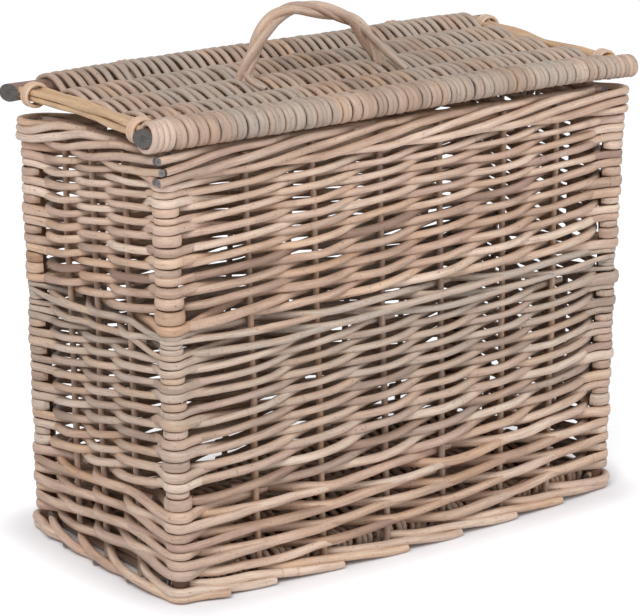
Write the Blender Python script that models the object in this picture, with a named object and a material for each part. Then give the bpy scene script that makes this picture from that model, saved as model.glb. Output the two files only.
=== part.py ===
"""Lidded wicker basket with a twisted rope handle, modelled piece by piece.

A willow basket stands on four round corner posts. Each wall has upright stakes, and one long
weaver goes back and forth between the posts, outside one stake and inside the next. A foot
border lies round the floor edge and a top border of bundled rods closes the walls. The base and
the lid are mats: two thick sticks, three thinner ribs between them and one strand that is woven
across and turned round the sticks. Two willow loops hold the lid's back stick to the back border,
so the lid turns about that stick.

Metres, +Z up, X along the long side, the front is at -Y, and the origin is on the floor under the
middle of the object.
"""

import math

import bmesh
import bpy
from mathutils import Vector

# Body, measured between the centres of the corner posts at the top
BODY_LENGTH = 0.402
BODY_DEPTH = 0.165
BODY_HEIGHT = 0.313
FOOT_INSET = 0.009
FOOT_SPREAD = 0.004
FOOT_BOW = 0.012

# Uprights
POST_RADIUS = 0.006
STAKE_RADIUS = 0.0024
STAKE_LIFT = 0.002

# Wall weaving: one rod goes outside one stake and inside the next
WEAVER_RADIUS = 0.003
COURSE_GAP = 0.0006
CORNER_LEAD = math.radians(5)
BACK_SLOT_COURSES = 1

# Borders
FOOT_ROD_RADIUS = 0.0032
FOOT_ROD_RUNS = 3
FOOT_LIFT = 0.0004
BORDER_ROD_RADIUS = 0.003

# Base mat
BASE_STICK_RADIUS = 0.005
BASE_RIB_RADIUS = 0.003
BASE_STRAND_RADIUS = 0.0022
BASE_STRAND_PITCH = 0.0135
BASE_LIFT = 0.001

# Lid mat
LID_OVERHANG = 0.017
LID_STICK_OUTSET = 0.002
LID_STICK_RADIUS = 0.006
LID_RIB_RADIUS = 0.003
LID_STRAND_RADIUS = 0.0022
LID_STRAND_PITCH = 0.007
LID_END_INSET = 0.012
LID_COIL_TURNS = 3

# Rods that close the lid's short sides, and the binding round them beside each stick
END_ROD_RADIUS = 0.00285
END_BOW = 0.005
BINDING_RADIUS = 0.0014
BINDING_TURNS = 3

# Twisted rope handle
HANDLE_SPAN = 0.128
HANDLE_RISE = 0.047
HANDLE_OFFSET = -0.016
HANDLE_STRAND_RADIUS = 0.004
HANDLE_LAY = 0.045
HANDLE_STATIONS = 25
HANDLE_SQUARENESS_LEFT = 2.6
HANDLE_SQUARENESS_RIGHT = 1.9
HANDLE_LOBE_SHARE = 0.5

# Willow hinge loops
LOOP_RADIUS = 0.002
LOOP_SPACING = 0.230

# Clearances
SEAT_GAP = 0.0003
SEAM_GAP = 0.0004
ROD_GAP = 0.0003

RIB_COUNT = 3
WRAP_STEPS = 4
WRAP_LEAD = math.radians(10)
COIL_STEPS = 8
POST_SIDES = 12
STICK_SIDES = 12
ROUND_SIDES = 8
ROD_SIDES = 6
STRAND_SIDES = 3
RUN_SIDES = 4

FULL_TURN = 2 * math.pi
HALF_TURN = math.pi
EIGHTH_TURN = math.pi / 4

# Each wall's first and last corner, and the direction that it faces
WALLS = {
    "front": ((-1, -1), (1, -1), Vector((0, -1, 0))),
    "right": ((1, -1), (1, 1), Vector((1, 0, 0))),
    "back": ((1, 1), (-1, 1), Vector((0, 1, 0))),
    "left": ((-1, 1), (-1, -1), Vector((-1, 0, 0))),
}

# Where each wall's stakes stand, as shares of the way from its first to its last corner
STAKE_SHARES = {
    "front": (0.16, 0.30, 0.445, 0.58, 0.73, 0.86),
    "right": (0.25, 0.50, 0.75),
    "back": (0.14, 0.28, 0.43, 0.57, 0.72, 0.86),
    "left": (0.25, 0.46, 0.71),
}

# Colours are linear
COLOURS = {
    "tan willow": ((0.40, 0.29, 0.20), 0.62),
    "grey willow": ((0.33, 0.28, 0.23), 0.68),
    "brown willow": ((0.30, 0.20, 0.13), 0.60),
    "post willow": ((0.24, 0.18, 0.13), 0.55),
    "pale willow": ((0.46, 0.36, 0.26), 0.60),
}


def clear_scene():
    for item in list(bpy.data.objects):
        bpy.data.objects.remove(item, do_unlink=True)


def new_collection(name):
    collection = bpy.data.collections.new(name)
    bpy.context.scene.collection.children.link(collection)
    return collection


def willow(name, finish):
    colour, roughness = COLOURS[finish]
    material = bpy.data.materials.new(name)
    material.use_nodes = True
    shader = material.node_tree.nodes["Principled BSDF"]
    shader.inputs["Base Color"].default_value = (*colour, 1)
    shader.inputs["Roughness"].default_value = roughness
    shader.inputs["Metallic"].default_value = 0
    return material


def ring(radius, sides, lobe_share=0):
    """The outline of a rod's section. A lobe share stretches it upward and downward."""
    outline = []
    for index in range(sides):
        angle = FULL_TURN * index / sides
        reach = radius * (1 + lobe_share * abs(math.sin(angle)))
        outline.append((reach * math.cos(angle), reach * math.sin(angle)))
    return outline


def section_guide(name, outline, collection):
    """A closed outline to sweep along a rod's route, wound so that the rod's faces point out."""
    curve = bpy.data.curves.new(name, "CURVE")
    curve.dimensions = "2D"
    spline = curve.splines.new("POLY")
    spline.points.add(len(outline) - 1)
    for point, (across, up) in zip(spline.points, outline):
        point.co = (across, -up, 0, 1)
    spline.use_cyclic_u = True
    guide = bpy.data.objects.new(name, curve)
    guide.hide_render = True
    guide.display_type = "WIRE"
    collection.objects.link(guide)
    return guide


class Workshop:
    """The two collections, the guides and the parent of what is being made."""

    def __init__(self):
        self.parts = new_collection("lidded_wicker_basket")
        self.guides = new_collection("guides")
        self.sections = {}
        self.parent = None

    def add(self, name, data, finish):
        piece = bpy.data.objects.new(name, data)
        data.materials.append(willow(f"{name} {finish}", finish))
        self.parts.objects.link(piece)
        if self.parent:
            piece.parent = self.parent
            piece.matrix_parent_inverse = self.parent.matrix_world.inverted()
        return piece

    def rod(self, name, route, radius, sides, finish, closed=False):
        """A willow rod laid along a route of points."""
        path = bpy.data.curves.new(name, "CURVE")
        path.dimensions = "3D"
        spline = path.splines.new("POLY")
        spline.points.add(len(route) - 1)
        for point, place in zip(spline.points, route):
            point.co = (*place, 1)
        spline.use_cyclic_u = closed
        path.use_fill_caps = not closed
        if sides == STRAND_SIDES:
            if radius not in self.sections:
                number = len(self.sections) + 1
                outline = ring(radius, STRAND_SIDES)
                self.sections[radius] = section_guide(f"strand_section_{number}", outline, self.guides)
            path.bevel_mode = "OBJECT"
            path.bevel_object = self.sections[radius]
        else:
            path.bevel_depth = radius
            path.bevel_resolution = (sides - RUN_SIDES) // 2
        return self.add(name, path, finish)

    def leaning_post(self, name, foot, top, radius, finish):
        """A round upright whose two cut ends stay level while it leans."""
        mesh = bpy.data.meshes.new(name)
        shape = bmesh.new()
        bmesh.ops.create_cone(
            shape, cap_ends=True, segments=POST_SIDES, radius1=radius, radius2=radius, depth=top.z - foot.z
        )
        for vertex in shape.verts:
            end = top if vertex.co.z > 0 else foot
            vertex.co.x += end.x
            vertex.co.y += end.y
            vertex.co.z = end.z
        shape.to_mesh(mesh)
        shape.free()
        mesh.shade_smooth()
        mesh.set_sharp_from_angle(angle=EIGHTH_TURN)
        return self.add(name, mesh, finish)


def wrap_reach(stick_radius, strand_radius, half_step):
    """Distance from a stick's axis to the points of a strand turned round it."""
    return (stick_radius + SEAT_GAP + strand_radius) / math.cos(half_step)


def mat_reach(stick_radius, strand_radius):
    half_step = (HALF_TURN + 2 * WRAP_LEAD) / WRAP_STEPS / 2
    return wrap_reach(stick_radius, strand_radius, half_step)


# Heights and depths that several pieces share
BASE_REACH = mat_reach(BASE_STICK_RADIUS, BASE_STRAND_RADIUS) + BASE_STRAND_RADIUS
BASE_HEIGHT = BASE_LIFT + BASE_REACH
LID_REACH = mat_reach(LID_STICK_RADIUS, LID_STRAND_RADIUS) + LID_STRAND_RADIUS
LID_HEIGHT = BODY_HEIGHT + SEAT_GAP + LID_REACH
FOOT_TOP = FOOT_LIFT + FOOT_ROD_RUNS * (2 * FOOT_ROD_RADIUS + ROD_GAP)
WEAVE_BOTTOM = max(FOOT_TOP, BASE_HEIGHT + BASE_REACH) + SEAT_GAP
BORDER_PITCH = 2 * BORDER_ROD_RADIUS + ROD_GAP
BORDER_TOP_RUN = BODY_HEIGHT - BORDER_ROD_RADIUS
BORDER_BOTTOM = BORDER_TOP_RUN - 2 * BORDER_PITCH - BORDER_ROD_RADIUS
UPRIGHT_TOP = BORDER_TOP_RUN - BORDER_ROD_RADIUS - SEAT_GAP
WEAVE_TOP = BORDER_BOTTOM - SEAT_GAP
COURSES = int((WEAVE_TOP - WEAVE_BOTTOM) / (2 * WEAVER_RADIUS + COURSE_GAP))
COURSE_PITCH = (WEAVE_TOP - WEAVE_BOTTOM) / COURSES
BORDER_OUT = POST_RADIUS + SEAT_GAP + BORDER_ROD_RADIUS
BORDER_IN = BORDER_OUT - 3 * BORDER_PITCH


def corner_reach(rod_radius):
    """Where a rod that turns round a post starts and ends, and how far out its points lie."""
    clear = POST_RADIUS + SEAT_GAP + rod_radius
    setback = (rod_radius * math.sin(EIGHTH_TURN) + SEAM_GAP / 2) / clear
    half_step = (EIGHTH_TURN - setback + CORNER_LEAD) / 2
    return clear / math.cos(half_step), EIGHTH_TURN - setback


WALL_REACH = corner_reach(WEAVER_RADIUS)[0] * math.cos(CORNER_LEAD) + WEAVER_RADIUS
FOOT_OUT = POST_RADIUS + SEAT_GAP + FOOT_ROD_RADIUS
FOOT_REACH = FOOT_SPREAD + FOOT_BOW + FOOT_OUT + FOOT_ROD_RADIUS
LOOP_OUT = BORDER_OUT + BORDER_ROD_RADIUS + SEAT_GAP + LOOP_RADIUS
FRONT_REACH = max(WALL_REACH, FOOT_REACH, LID_STICK_OUTSET + LID_REACH)
BACK_REACH = max(FRONT_REACH, LOOP_OUT + LOOP_RADIUS)
# What stands proud at the back only moves the body forward by half of that
BACK_SHIFT = (FRONT_REACH - BACK_REACH) / 2
LID_LENGTH = BODY_LENGTH + 2 * LID_OVERHANG
LID_BACK_Y = BODY_DEPTH / 2 + LID_STICK_OUTSET + BACK_SHIFT
LID_FRONT_Y = 2 * BACK_SHIFT - LID_BACK_Y
LID_AXIS = Vector((0, LID_BACK_Y, LID_HEIGHT))


def corner(signs, height):
    """The centre of a corner post at a height. Towards the floor the posts lean in along the
    basket's length and spread a little across it.
    """
    drop = 1 - height / BODY_HEIGHT
    x = signs[0] * (BODY_LENGTH / 2 - FOOT_INSET * drop)
    y = signs[1] * (BODY_DEPTH / 2 + FOOT_SPREAD * drop) + BACK_SHIFT
    return Vector((x, y, height))


def wall_line(wall, height):
    """The line through a wall's uprights at a height: its start, direction and length."""
    first, last, _ = WALLS[wall]
    start = corner(first, height)
    run = corner(last, height) - start
    return start, run.normalized(), run.length


def foot_bow(wall, share, height):
    """How far a wall bows out: the long walls do, most in the middle of their foot."""
    bow = FOOT_BOW if WALLS[wall][2].y else 0
    return bow * math.sin(HALF_TURN * share) * (1 - height / BODY_HEIGHT)


def stake_place(wall, index, height):
    start, along, length = wall_line(wall, height)
    share = STAKE_SHARES[wall][index]
    return start + along * length * share + WALLS[wall][2] * foot_bow(wall, share, height)


def round_corner(wall, height, rod_radius, at_end):
    """Two points where a rod passes outside a corner post, on this wall's side of the corner."""
    start, along, length = wall_line(wall, height)
    out = WALLS[wall][2]
    reach, swing = corner_reach(rod_radius)
    centre = start + along * length if at_end else start
    inward = -along if at_end else along
    near = centre + (inward * math.sin(CORNER_LEAD) + out * math.cos(CORNER_LEAD)) * reach
    far = centre + (out * math.cos(swing) - inward * math.sin(swing)) * reach
    return [near, far] if at_end else [far, near]


def course_crossing(wall):
    """How far the weaver lies from the stakes' line where it passes a stake."""
    reach, _ = corner_reach(WEAVER_RADIUS)
    clear = STAKE_RADIUS + SEAT_GAP + WEAVER_RADIUS
    _, _, length = wall_line(wall, WEAVE_BOTTOM)
    end_share = min(STAKE_SHARES[wall][0], 1 - STAKE_SHARES[wall][-1])
    span = length * end_share - reach * math.sin(CORNER_LEAD)
    steepness = (reach * math.cos(CORNER_LEAD) + clear) / span
    return clear * math.hypot(1, steepness)


def make_wall_weave(shop, wall):
    out = WALLS[wall][2]
    crossing = course_crossing(wall)
    courses = COURSES - (BACK_SLOT_COURSES if wall == "back" else 0)
    route = []
    for course in range(courses):
        height = WEAVE_BOTTOM + (course + 0.5) * COURSE_PITCH
        row = round_corner(wall, height, WEAVER_RADIUS, False)
        for index in range(len(STAKE_SHARES[wall])):
            side = 1 if (index + course) % 2 else -1
            row.append(stake_place(wall, index, height) + out * crossing * side)
        row += round_corner(wall, height, WEAVER_RADIUS, True)
        route += row[::-1] if course % 2 else row
    shop.rod(f"wall_weave_{wall}", route, WEAVER_RADIUS, STRAND_SIDES, "tan willow")


def make_uprights(shop):
    for front_back, sign_y in (("front", -1), ("back", 1)):
        for left_right, sign_x in (("left", -1), ("right", 1)):
            signs = (sign_x, sign_y)
            shop.leaning_post(
                f"corner_post_{front_back}_{left_right}",
                corner(signs, 0),
                corner(signs, UPRIGHT_TOP),
                POST_RADIUS,
                "post willow",
            )
    for wall, shares in STAKE_SHARES.items():
        for index in range(len(shares)):
            ends = [stake_place(wall, index, height) for height in (STAKE_LIFT, UPRIGHT_TOP)]
            shop.rod(f"stake_{wall}_{index + 1}", ends, STAKE_RADIUS, ROD_SIDES, "brown willow")


def make_foot_border(shop, wall):
    """Rods stacked along the floor edge, turned back at the corners, level with the posts' outside."""
    route = []
    for run in range(FOOT_ROD_RUNS):
        height = FOOT_LIFT + FOOT_ROD_RADIUS + run * (2 * FOOT_ROD_RADIUS + ROD_GAP)
        row = round_corner(wall, height, FOOT_ROD_RADIUS, False)
        for index in range(len(STAKE_SHARES[wall])):
            row.append(stake_place(wall, index, height) + WALLS[wall][2] * FOOT_OUT)
        row += round_corner(wall, height, FOOT_ROD_RADIUS, True)
        route += row[::-1] if run % 2 else row
    shop.rod(f"foot_border_{wall}", route, FOOT_ROD_RADIUS, RUN_SIDES, "brown willow")


def border_run_end(out, height):
    """How far a border run goes past the post's centre: to the mitre, or short of the post."""
    mitre = out - BORDER_ROD_RADIUS - SEAM_GAP
    clear = POST_RADIUS + SEAT_GAP + BORDER_ROD_RADIUS
    if height < BORDER_TOP_RUN and -clear < out < 0:
        return min(mitre, -math.sqrt(clear**2 - out**2))
    return mitre


def make_top_border(shop, wall):
    """A bundle that straddles the uprights: a stack outside, a layer on top, a stack inside."""
    low, middle, top = (BORDER_TOP_RUN - layer * BORDER_PITCH for layer in (2, 1, 0))
    section = [(BORDER_OUT, low), (BORDER_OUT, middle)]
    section += [(BORDER_OUT - column * BORDER_PITCH, top) for column in range(4)]
    section += [(BORDER_IN, middle), (BORDER_IN, low)]
    route = []
    for run, (out, height) in enumerate(section):
        start, along, length = wall_line(wall, BODY_HEIGHT)
        past = border_run_end(out, height)
        line = start + WALLS[wall][2] * out
        row = [line - along * past, line + along * (length + past)]
        for place in row:
            place.z = height
        route += row[::-1] if run % 2 else row
    shop.rod(f"top_border_{wall}", route, BORDER_ROD_RADIUS, RUN_SIDES, "tan willow")


def wrap_point(stick_y, height, inward, reach, angle, x):
    """A point round a stick: angle 0 is the mat's side, a quarter turn is the top."""
    return Vector((x, stick_y + inward * reach * math.cos(angle), height + reach * math.sin(angle)))


def mat_strand(front_y, back_y, height, stick_radius, rib_radius, strand_radius, places, coil):
    """One strand woven across ribs and turned round a front and a back stick.

    Even passes go over the sticks from front to back, odd ones return under them. A coil is the
    number of turns and the x of the coil's outer end at each side of the front stick.
    """
    reach = mat_reach(stick_radius, strand_radius)
    turn = (HALF_TURN + 2 * WRAP_LEAD) / WRAP_STEPS
    over = HALF_TURN / 2 - WRAP_LEAD
    ribs = [front_y + (back_y - front_y) * (index + 1) / (RIB_COUNT + 1) for index in range(RIB_COUNT)]
    clear = rib_radius + SEAT_GAP + strand_radius
    steepness = (reach + clear) / ((back_y - front_y) / (RIB_COUNT + 1))
    crossing = clear * math.hypot(1, steepness)
    route = []
    turns, outer = coil
    steps = turns * COIL_STEPS
    for step in range(steps):
        x = -outer + (places[0] + outer) * step / steps
        angle = over + FULL_TURN * (steps - step) / COIL_STEPS
        route.append(wrap_point(front_y, height, 1, reach, angle, x))
    for index, x in enumerate(places):
        backward = index % 2 == 0
        row = []
        for number, y in enumerate(ribs):
            side = 1 if (number + index) % 2 else -1
            row.append(Vector((x, y, height + crossing * side)))
        if index == 0:
            route.append(wrap_point(front_y, height, 1, reach, over, x))
        route += row if backward else row[::-1]
        last = index == len(places) - 1
        following = places[index] if last else places[index + 1]
        for step in range(WRAP_STEPS + 1):
            share = step / WRAP_STEPS
            angle = over + turn * step if backward else over + turn * (WRAP_STEPS - step)
            stick_y, inward = (back_y, -1) if backward else (front_y, 1)
            route.append(wrap_point(stick_y, height, inward, reach, angle, x + (following - x) * share))
            if last:
                break
    for step in range(1, steps + 1):
        x = places[-1] + (outer - places[-1]) * step / steps
        angle = over + turn * WRAP_STEPS - FULL_TURN * step / COIL_STEPS
        route.append(wrap_point(front_y, height, 1, reach, angle, x))
    return route, ribs


def even_places(half_length, pitch, gap_at=None, gap_extra=0):
    """The x of each pass, an even number of them, with a wider gap at each hinge loop.

    The wider gaps lie between an odd pass and the next even one, where nothing turns round the
    back stick.
    """
    gaps = 2 if gap_at else 0
    count = int((2 * half_length - gaps * gap_extra) / pitch) // 2 * 2
    step = (2 * half_length - gaps * gap_extra) / (count - 1)
    if not gap_at:
        return [-half_length + step * index for index in range(count)], []
    after = round((half_length - gap_at) / step / 2) * 2 - 1
    middles = []
    places = []
    x = -half_length
    for index in range(count):
        places.append(x)
        wide = index == after or index == count - 2 - after
        if wide:
            middles.append(x + (step + gap_extra) / 2)
        x += step + (gap_extra if wide else 0)
    return places, middles


def make_base(shop):
    """A mat whose sticks lie beside the corner posts and end at the foot border."""
    front = corner((-1, -1), 0)
    beside_post = POST_RADIUS + BASE_STICK_RADIUS
    bow = min(foot_bow("front", share, BASE_HEIGHT) for share in STAKE_SHARES["front"])
    beside_stakes = STAKE_RADIUS + BASE_REACH - bow
    front_y = front.y + max(beside_post, beside_stakes) + SEAT_GAP
    back_y = 2 * BACK_SHIFT - front_y
    stick_end = -front.x + POST_RADIUS
    rib_end = -front.x - STAKE_RADIUS - SEAT_GAP
    strand_end = -front.x - POST_RADIUS - SEAT_GAP - BASE_STRAND_RADIUS
    places, _ = even_places(strand_end, BASE_STRAND_PITCH)
    route, ribs = mat_strand(
        front_y, back_y, BASE_HEIGHT, BASE_STICK_RADIUS, BASE_RIB_RADIUS, BASE_STRAND_RADIUS, places, (0, 0)
    )
    shop.rod("base_weave", route, BASE_STRAND_RADIUS, STRAND_SIDES, "brown willow")
    for name, y in (("base_front_stick", front_y), ("base_back_stick", back_y)):
        ends = [Vector((side * stick_end, y, BASE_HEIGHT)) for side in (-1, 1)]
        shop.rod(name, ends, BASE_STICK_RADIUS, ROUND_SIDES, "post willow")
    for number, y in enumerate(ribs):
        ends = [Vector((side * rib_end, y, BASE_HEIGHT)) for side in (-1, 1)]
        shop.rod(f"base_rib_{number + 1}", ends, BASE_RIB_RADIUS, ROD_SIDES, "brown willow")


def lid_end_x():
    """The middle of the bundle of rods that closes a short side of the lid."""
    return LID_LENGTH / 2 - LID_END_INSET


def end_offset():
    return END_ROD_RADIUS + ROD_GAP / 2


def end_limits():
    """The bundle runs from the coil on the front stick to the bare back stick."""
    turned = END_ROD_RADIUS * math.sin(EIGHTH_TURN) + SEAT_GAP
    front = LID_FRONT_Y + LID_REACH + turned
    back = LID_BACK_Y - LID_STICK_RADIUS - turned
    return front, back


def end_bow(y):
    """How far the bundle bows in towards the lid's middle at a depth."""
    front, back = end_limits()
    middle = (front + back) / 2
    return END_BOW * (1 - abs(y - middle) / (back - middle))


def make_lid_mat(shop):
    weave_half = lid_end_x() - end_offset() - END_ROD_RADIUS - END_BOW - SEAT_GAP - LID_STRAND_RADIUS
    gap_extra = max(2 * (LID_STRAND_RADIUS + SEAT_GAP + LOOP_RADIUS) - LID_STRAND_PITCH, 0) + ROD_GAP
    places, hinges = even_places(weave_half, LID_STRAND_PITCH, LOOP_SPACING / 2, gap_extra)
    coil = (LID_COIL_TURNS, LID_LENGTH / 2 - LID_STRAND_RADIUS)
    route, ribs = mat_strand(
        LID_FRONT_Y,
        LID_BACK_Y,
        LID_HEIGHT,
        LID_STICK_RADIUS,
        LID_RIB_RADIUS,
        LID_STRAND_RADIUS,
        places,
        coil,
    )
    shop.rod("lid_weave", route, LID_STRAND_RADIUS, STRAND_SIDES, "grey willow")
    for name, y in (("lid_front_stick", LID_FRONT_Y), ("lid_back_stick", LID_BACK_Y)):
        ends = [Vector((side * LID_LENGTH / 2, y, LID_HEIGHT)) for side in (-1, 1)]
        shop.rod(name, ends, LID_STICK_RADIUS, STICK_SIDES, "post willow")
    for number, y in enumerate(ribs):
        half = lid_end_x() - end_offset() - END_ROD_RADIUS - end_bow(y) - SEAT_GAP
        ends = [Vector((side * half, y, LID_HEIGHT)) for side in (-1, 1)]
        shop.rod(f"lid_rib_{number + 1}", ends, LID_RIB_RADIUS, ROD_SIDES, "brown willow")
    return places, hinges


def make_lid_end(shop, name, side):
    """Four rods bundled across a short side of the lid, and a binding beside each stick."""
    front, back = end_limits()
    middle = (front + back) / 2
    offset = end_offset()
    route = []
    for run, (across, up) in enumerate(((1, 1), (-1, 1), (-1, -1), (1, -1))):
        row = []
        for y in (front, middle, back):
            x = side * (lid_end_x() - end_bow(y) + across * offset)
            row.append(Vector((x, y, LID_HEIGHT + up * offset)))
        route += row[::-1] if run % 2 else row
    shop.rod(f"lid_end_{name}", route, END_ROD_RADIUS, RUN_SIDES, "pale willow")
    half_step = FULL_TURN / COIL_STEPS / 2
    bundle = math.hypot(offset, offset) + END_ROD_RADIUS
    pitch = 2 * BINDING_RADIUS + 2 * ROD_GAP
    length = BINDING_TURNS * pitch
    reach = wrap_reach(bundle, BINDING_RADIUS, half_step)
    starts = {"front": front + BINDING_RADIUS, "back": back - BINDING_RADIUS - length}
    for end, start in starts.items():
        coil = []
        lean = end_bow(start + length / 2)
        for step in range(BINDING_TURNS * COIL_STEPS + 1):
            angle = FULL_TURN * step / COIL_STEPS
            x = side * (lid_end_x() - lean) + reach * math.cos(angle)
            y = start + pitch * step / COIL_STEPS
            coil.append(Vector((x, y, LID_HEIGHT + reach * math.sin(angle))))
        shop.rod(f"lid_binding_{end}_{name}", coil, BINDING_RADIUS, STRAND_SIDES, "pale willow")


def handle_feet(places):
    """Each foot stands on the middle rib, midway between two strands that cross over it."""
    gaps = [(first + second) / 2 for first, second in zip(places[::2], places[2::2])]
    wanted = [HANDLE_OFFSET + side * HANDLE_SPAN / 2 for side in (-1, 1)]
    return [min(gaps, key=lambda gap: abs(gap - x)) for x in wanted]


def make_handle(shop, places):
    """Two strands twisted into a rope and bent over the lid's middle rib: an arch that stands
    squarer on its left side than on its right.
    """
    left, right = handle_feet(places)
    middle_y = (LID_FRONT_Y + LID_BACK_Y) / 2
    foot = LID_HEIGHT + LID_RIB_RADIUS + SEAT_GAP
    spring = foot + 2 * LID_STRAND_RADIUS
    route = [Vector((left, middle_y, foot))]
    for index in range(HANDLE_STATIONS):
        angle = HALF_TURN * index / (HANDLE_STATIONS - 1)
        power = 2 / (HANDLE_SQUARENESS_LEFT if math.cos(angle) > 0 else HANDLE_SQUARENESS_RIGHT)
        across = -math.copysign(abs(math.cos(angle)) ** power, math.cos(angle))
        x = (left + right) / 2 + (right - left) / 2 * across
        route.append(Vector((x, middle_y, spring + HANDLE_RISE * max(math.sin(angle), 0) ** power)))
    route.append(Vector((right, middle_y, foot)))
    handle = shop.rod("lid_handle", route, HANDLE_STRAND_RADIUS, ROUND_SIDES, "grey willow")
    outline = ring(HANDLE_STRAND_RADIUS, ROUND_SIDES, HANDLE_LOBE_SHARE)
    handle.data.bevel_mode = "OBJECT"
    handle.data.bevel_object = section_guide("rope_section", outline, shop.guides)

    # The legs stand untwisted between the strands, and the arch takes a whole number of half turns
    steps = [(after - before).length for before, after in zip(route[1:-1], route[2:-1])]
    half_turns = round(2 * sum(steps) / HANDLE_LAY)
    travelled = 0
    points = handle.data.splines[0].points
    for point, step in zip(points[2:], steps + [0]):
        travelled += step
        point.tilt = half_turns * HALF_TURN * travelled / sum(steps)


def make_hinge_loop(shop, name, x):
    """A willow loop round the lid's back stick and the back border."""
    centre_y, centre_z = LID_BACK_Y, LID_HEIGHT
    steps = WRAP_STEPS + 1
    half_step = HALF_TURN / steps / 2
    reach = wrap_reach(LID_STICK_RADIUS, LOOP_RADIUS, half_step)
    post_y = corner((1, 1), BODY_HEIGHT).y
    outside = post_y + LOOP_OUT
    inside = post_y + BORDER_IN - BORDER_ROD_RADIUS - SEAT_GAP - LOOP_RADIUS
    under = BORDER_BOTTOM - SEAT_GAP - LOOP_RADIUS
    shoulder = BODY_HEIGHT
    route = []
    for step in range(steps + 1):
        angle = HALF_TURN * step / steps
        route.append(Vector((x, centre_y + reach * math.cos(angle), centre_z + reach * math.sin(angle))))
    route += [Vector((x, inside, shoulder)), Vector((x, inside, under))]
    route += [Vector((x, outside, under)), Vector((x, outside, shoulder))]
    shop.rod(f"hinge_loop_{name}", route, LOOP_RADIUS, ROD_SIDES, "pale willow", closed=True)


def main():
    clear_scene()
    shop = Workshop()
    make_base(shop)
    make_uprights(shop)
    for wall in WALLS:
        make_foot_border(shop, wall)
        make_wall_weave(shop, wall)
        make_top_border(shop, wall)

    hinge = bpy.data.objects.new("lid_axis", None)
    hinge.location = LID_AXIS
    shop.guides.objects.link(hinge)
    bpy.context.view_layer.update()
    shop.parent = hinge
    places, hinges = make_lid_mat(shop)
    for name, side in (("left", -1), ("right", 1)):
        make_lid_end(shop, name, side)
    make_handle(shop, places)
    shop.parent = None
    for name, x in zip(("left", "right"), hinges):
        make_hinge_loop(shop, name, x)


main()
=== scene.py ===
"""Willow-work looks for a lidded wicker basket, laid out as a Blender add-on.

Every rod of the basket is laid as its own tapering tube: the rows of the walls, the bundled
borders, the mats of the lid and the base, the bindings, the hinge loops and the rope handle.
"""

import math
import random

import bpy
import numpy as np
from bpy.props import FloatProperty, FloatVectorProperty, PointerProperty
from mathutils import Matrix, Vector


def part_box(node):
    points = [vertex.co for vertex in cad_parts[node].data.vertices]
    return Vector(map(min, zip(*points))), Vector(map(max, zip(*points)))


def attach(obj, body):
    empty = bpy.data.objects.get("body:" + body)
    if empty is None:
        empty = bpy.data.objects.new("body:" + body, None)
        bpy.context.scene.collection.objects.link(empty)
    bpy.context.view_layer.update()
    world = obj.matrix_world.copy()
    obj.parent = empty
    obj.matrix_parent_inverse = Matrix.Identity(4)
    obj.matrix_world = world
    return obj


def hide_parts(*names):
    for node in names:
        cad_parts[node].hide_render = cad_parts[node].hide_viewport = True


bl_info = {
    "name": "Lidded Wicker Basket",
    "version": (1, 0, 0),
    "blender": (4, 5, 0),
    "location": "3D View > Sidebar > Basket",
    "description": "Willow rods, borders, mats and rope handle of a lidded wicker basket",
    "category": "Add Mesh",
}

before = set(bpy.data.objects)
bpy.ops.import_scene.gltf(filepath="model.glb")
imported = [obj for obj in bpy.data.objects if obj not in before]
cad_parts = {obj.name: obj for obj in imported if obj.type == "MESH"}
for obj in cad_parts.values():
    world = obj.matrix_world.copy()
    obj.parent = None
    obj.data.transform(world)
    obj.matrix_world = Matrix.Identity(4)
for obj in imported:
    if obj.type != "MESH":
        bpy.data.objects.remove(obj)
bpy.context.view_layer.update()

# Radii and gaps of the frame's own pieces, in metres
POST_RADIUS = 0.006
STAKE_RADIUS = 0.0024
GAP = 0.0003
LEFT_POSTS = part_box("corner_post_front_left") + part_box("corner_post_back_left")
MIDDLE_Y = sum(corner[1] for corner in LEFT_POSTS) / 4

# The uprights in order round the walls, from the near corner, each with the way its wall faces
WALLS = (
    ("front", "corner_post_front_left", 6, (0, -1, 0)),
    ("right", "corner_post_front_right", 3, (1, 0, 0)),
    ("back", "corner_post_back_right", 6, (0, 1, 0)),
    ("left", "corner_post_back_left", 3, (-1, 0, 0)),
)

# A rod of a waled zone goes inside one upright in three, a rod of a rand inside one in two
WALED, RAND = 3, 2

# The shares of height that the turns round the near corner post take, from the lowest up
WALED_SHARES = (12, 11, 9, 9, 10.5, 11, 13)
LOWER_SHARES = (13, 7, 10, 11, 12, 12, 11, 9, 12, 8, 9, 10, 10, 7, 8, 9)
GREY_SHARES = (6, 6, 4.5, 4.5, 5)
UPPER_SHARES = (11, 15, 13, 11, 9, 10, 11, 10, 13, 10, 7, 10, 9, 7, 7)

# The zones of the weave from the floor up: name, rows or levels, how its rods go, how grey they
# are, the shares at the near corner, and which of those turns go round the post alone
ZONES = (
    ("waled_rows", 11, WALED, 0.10, WALED_SHARES, ()),
    ("lower_rows", 21, RAND, 0.45, LOWER_SHARES, (0, 4, 7, 10, 13)),
    ("grey_rows", 5, WALED, 0.85, GREY_SHARES, (2,)),
    ("upper_rows", 21, RAND, 0.12, UPPER_SHARES, (2, 5, 8, 11)),
)

# Thickness of a rand's rod at its butt, beside its middle
RAND_TAPER = 1.14

# How much thinner a flattened rod gets for each share that it gets wider
NARROWING = 0.7


# Geometry


def unit(vectors):
    return vectors / np.maximum(np.linalg.norm(vectors, axis=-1, keepdims=True), 1e-12)


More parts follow.
